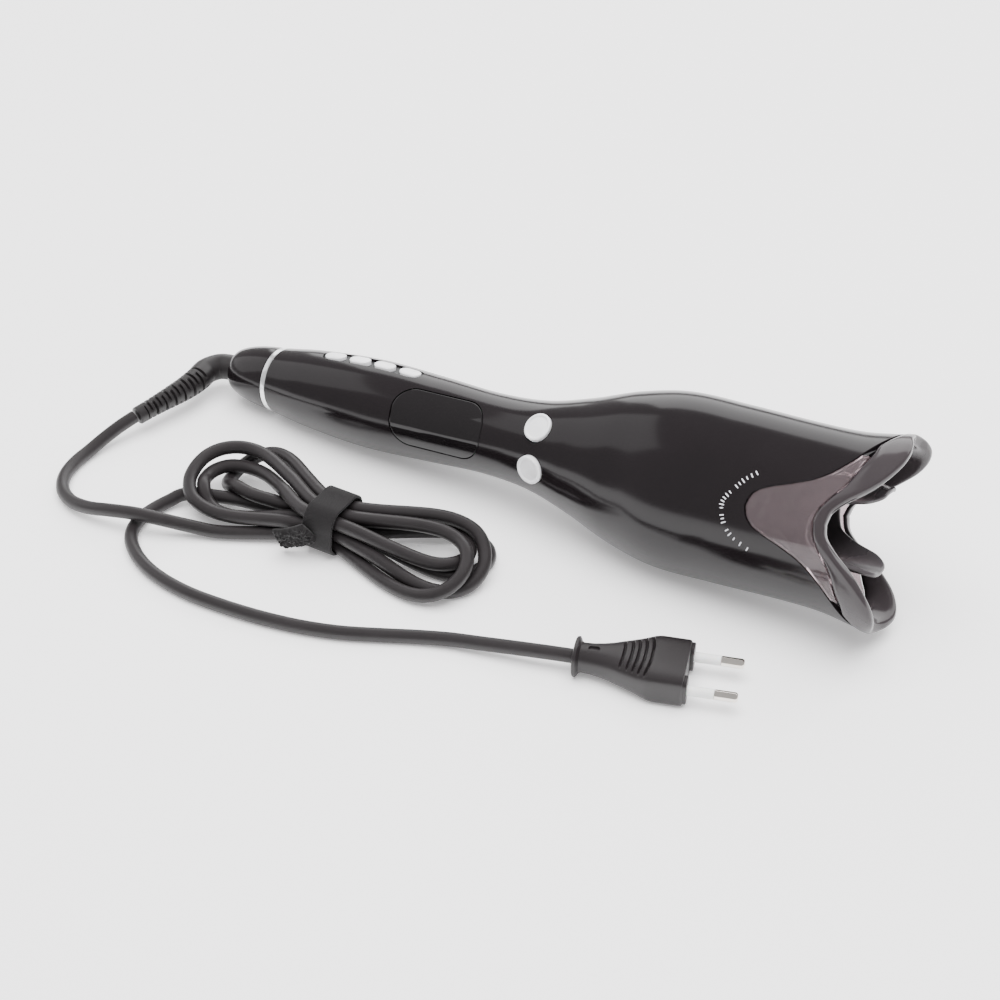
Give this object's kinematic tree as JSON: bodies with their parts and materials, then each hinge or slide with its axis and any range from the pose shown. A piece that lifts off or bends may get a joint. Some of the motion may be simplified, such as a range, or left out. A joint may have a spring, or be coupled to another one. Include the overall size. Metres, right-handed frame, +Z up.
{
  "type": "automatic hair curler",
  "caption": "Handheld automatic hair curler with a two-petal mouth, spinning rotor round a heated barrel, buttons, display and a swivelling mains cord folded in a strap.",
  "frame": {"origin": "on the resting plane, under the middle of the box round the curler itself without its cord", "axes": "+X along the curler towards its mouth, +Z up from the resting plane, -Y on the side that the front face leans towards"},
  "size_m": [0.3397, 0.1583, 0.0784],
  "materials": {
    "black_gloss": "polished glossy black moulding",
    "smoked_window": "smoked see-through plastic, polished",
    "smoked_rim": "dark smoked plastic, polished, rounded edge",
    "display_glass": "black tinted display cover, polished",
    "silver_ring": "bright satin ring",
    "silver_button": "satin silver coating",
    "black_trim": "satin black",
    "dark_plastic": "moulded",
    "rubber": "satin black rubber",
    "hook_and_loop": "woven hook-and-loop tape",
    "plug_plastic": "satin black moulding",
    "plug_sleeve": "white sleeve",
    "nickel": "nickel plated",
    "rotor_plastic": "dark heat-resistant moulding",
    "gear_plastic": "acetal",
    "ceramic_coating": "ceramic coated",
    "brass": "turned",
    "steel": "plain",
    "heater_alloy": "extruded",
    "circuit_board": "solder mask",
    "lcd": "liquid crystal module"
  },
  "bodies": {
    "housing": {"front_housing": "black_gloss", "back_housing": "black_gloss", "tail_cap": "black_gloss", "front_window": "smoked_window", "back_window": "smoked_window", "mouth_rim": "smoked_rim", "display_lens": "display_glass", "silver_ring": "silver_ring", "key_bezel": "black_trim", "left_switch": "dark_plastic", "right_switch": "dark_plastic", "key_pad": "dark_plastic", "barrel_bulkhead": "dark_plastic", "barrel_tip": "dark_plastic", "cord_from_boot": "rubber", "cord_to_plug": "rubber", "cord_hank": "rubber", "cord_strap": "hook_and_loop", "plug_body": "plug_plastic", "plug_sleeve_left": "plug_sleeve", "plug_sleeve_right": "plug_sleeve", "plug_pin_left": "nickel", "plug_pin_right": "nickel", "heated_barrel": "ceramic_coating", "rotor_bush": "brass", "slip_ring": "brass", "gear_motor": "steel", "motor_gearbox": "steel", "motor_bracket": "steel", "thermal_fuse": "steel", "housing_screw_1": "steel", "housing_screw_2": "steel", "housing_screw_3": "steel", "housing_screw_4": "steel", "heater_element": "heater_alloy", "control_board": "circuit_board", "power_board": "circuit_board", "display_module": "lcd"},
    "rotor": {"rotor": "rotor_plastic", "rotor_gear": "gear_plastic"},
    "pinion": {"motor_pinion": "brass", "motor_shaft": "steel"},
    "left_button": {"left_button": "silver_button"},
    "right_button": {"right_button": "silver_button"},
    "side_key_1": {"side_key_1": "silver_button"},
    "side_key_2": {"side_key_2": "silver_button"},
    "side_key_3": {"side_key_3": "silver_button"},
    "side_key_4": {"side_key_4": "silver_button"},
    "swivel": {"swivel_collar": "rubber", "cord_boot": "rubber"}
  },
  "joints": [
    {"name": "rotor_spin", "type": "hinge", "parent": "housing", "child": "rotor", "pos_m": [0.07065, 0.0002, 0.03469], "axis": [0.9951, 0, 0.099], "continuous": true},
    {"name": "pinion_spin", "type": "hinge", "parent": "housing", "child": "pinion", "pos_m": [0.06619, 0.00966, 0.04916], "axis": [0.9951, 0, 0.099], "continuous": true},
    {"name": "left_button_press", "type": "slide", "parent": "housing", "child": "left_button", "axis": [0.2478, 0.5368, -0.8065], "range_m": [0, 0.001], "stiffness_N_per_m": 900},
    {"name": "right_button_press", "type": "slide", "parent": "housing", "child": "right_button", "axis": [0.1795, 0.9764, -0.1198], "range_m": [0, 0.001], "stiffness_N_per_m": 900},
    {"name": "side_key_1_press", "type": "slide", "parent": "housing", "child": "side_key_1", "axis": [0.1209, -0.1736, -0.9774], "range_m": [0, 0.0006], "stiffness_N_per_m": 900},
    {"name": "side_key_2_press", "type": "slide", "parent": "housing", "child": "side_key_2", "axis": [0.1209, -0.1736, -0.9774], "range_m": [0, 0.0006], "stiffness_N_per_m": 900},
    {"name": "side_key_3_press", "type": "slide", "parent": "housing", "child": "side_key_3", "axis": [0.1209, -0.1736, -0.9774], "range_m": [0, 0.0006], "stiffness_N_per_m": 900},
    {"name": "side_key_4_press", "type": "slide", "parent": "housing", "child": "side_key_4", "axis": [0.1209, -0.1736, -0.9774], "range_m": [0, 0.0006], "stiffness_N_per_m": 900},
    {"name": "cord_swivel", "type": "hinge", "parent": "housing", "child": "swivel", "pos_m": [-0.15424, 0.0002, 0.01232], "axis": [0.9951, 0, 0.099], "continuous": true}
  ],
  "couplings": [
    {"joint": "pinion_spin", "follows": "rotor_spin", "ratio": -4}
  ]
}
